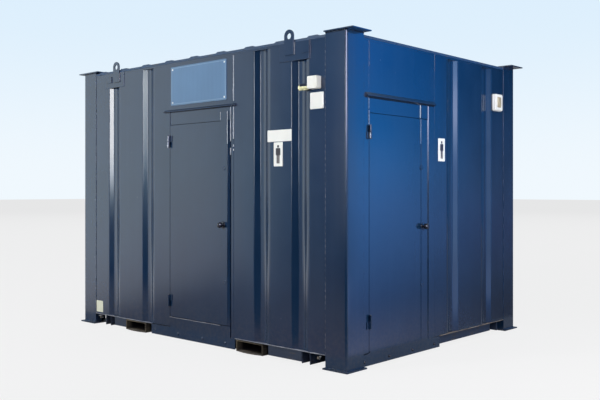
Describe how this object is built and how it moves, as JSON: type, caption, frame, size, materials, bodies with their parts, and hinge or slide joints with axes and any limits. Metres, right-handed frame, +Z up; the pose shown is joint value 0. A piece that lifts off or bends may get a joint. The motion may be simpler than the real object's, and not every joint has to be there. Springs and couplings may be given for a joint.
{
  "type": "portable site cabin",
  "caption": "Portable steel site cabin with pressed wall sheets, corner posts with foot and cap plates, outward hinged doors in its front and end, lifting eyes and fork pockets.",
  "frame": {"origin": "on the ground under the middle of the cabin", "axes": "+X along the long front, towards the end wall with the second door; -Y out of the front wall; +Z up"},
  "size_m": [3.805, 2.837, 2.7519],
  "materials": {
    "blue_paint": "gloss dark blue enamel, brushed and sprayed over weathered steel",
    "underframe_paint": "dull dark blue-black enamel, scuffed",
    "roof_paint": "dull weathered dark blue",
    "worn_steel": "paint scraped to bare and rusted steel at the mouths",
    "dark_metal": "gloss black-blue enamel",
    "board_blue": "satin mid blue sheet",
    "white_plate": "satin white rigid sheet",
    "white_plastic": "off-white moulded plastic",
    "yellow_plastic": "pale yellow moulded plastic with a black collar",
    "floor_board": "sealed floor board with a grey vinyl face",
    "white_lining": "white faced lining board"
  },
  "bodies": {
    "cabin": {"back_base_rail": "underframe_paint", "back_wall": "blue_paint", "cap_plates": "blue_paint", "ceiling": "white_lining", "corner_post_back_left": "blue_paint", "corner_post_back_right": "blue_paint", "corner_post_front_left": "blue_paint", "corner_post_front_right": "blue_paint", "cover_plate": "white_plate", "cross_channels": "underframe_paint", "drip_rails": "blue_paint", "end_base_rails": "underframe_paint", "end_door_frame": "blue_paint", "end_frame_hinges": "blue_paint", "end_sill": "blue_paint", "end_wall_hinge_side": "blue_paint", "end_wall_lock_side": "blue_paint", "end_wall_over_door": "blue_paint", "eye_backing_plates": "blue_paint", "floor": "floor_board", "foot_plates": "underframe_paint", "fork_pockets": "worn_steel", "front_base_rail": "underframe_paint", "front_door_frame": "blue_paint", "front_frame_hinges": "blue_paint", "front_sill": "blue_paint", "front_wall_left": "blue_paint", "front_wall_over_door": "blue_paint", "front_wall_right": "blue_paint", "junction_box": "white_plastic", "left_end_wall": "blue_paint", "lifting_eyes": "blue_paint", "notice_plates": "white_plate", "post_stub": "blue_paint", "power_inlet": "yellow_plastic", "roof_sheet": "roof_paint", "sign_board": "board_blue", "wall_lamp": "white_plastic"},
    "front_door": {"front_door_leaf": "blue_paint", "front_door_knob": "dark_metal", "front_door_hinges": "blue_paint"},
    "end_door": {"end_door_leaf": "blue_paint", "end_door_knob": "dark_metal", "end_door_hinges": "blue_paint"}
  },
  "joints": [
    {"name": "front_door_swing", "type": "hinge", "parent": "cabin", "child": "front_door", "pos_m": [-0.3555, -1.3855, 1.128], "axis": [0, 0, -1], "range_deg": [0, 110]},
    {"name": "end_door_swing", "type": "hinge", "parent": "cabin", "child": "end_door", "pos_m": [1.843, -1.0805, 1.128], "axis": [0, 0, -1], "range_deg": [0, 110]}
  ]
}
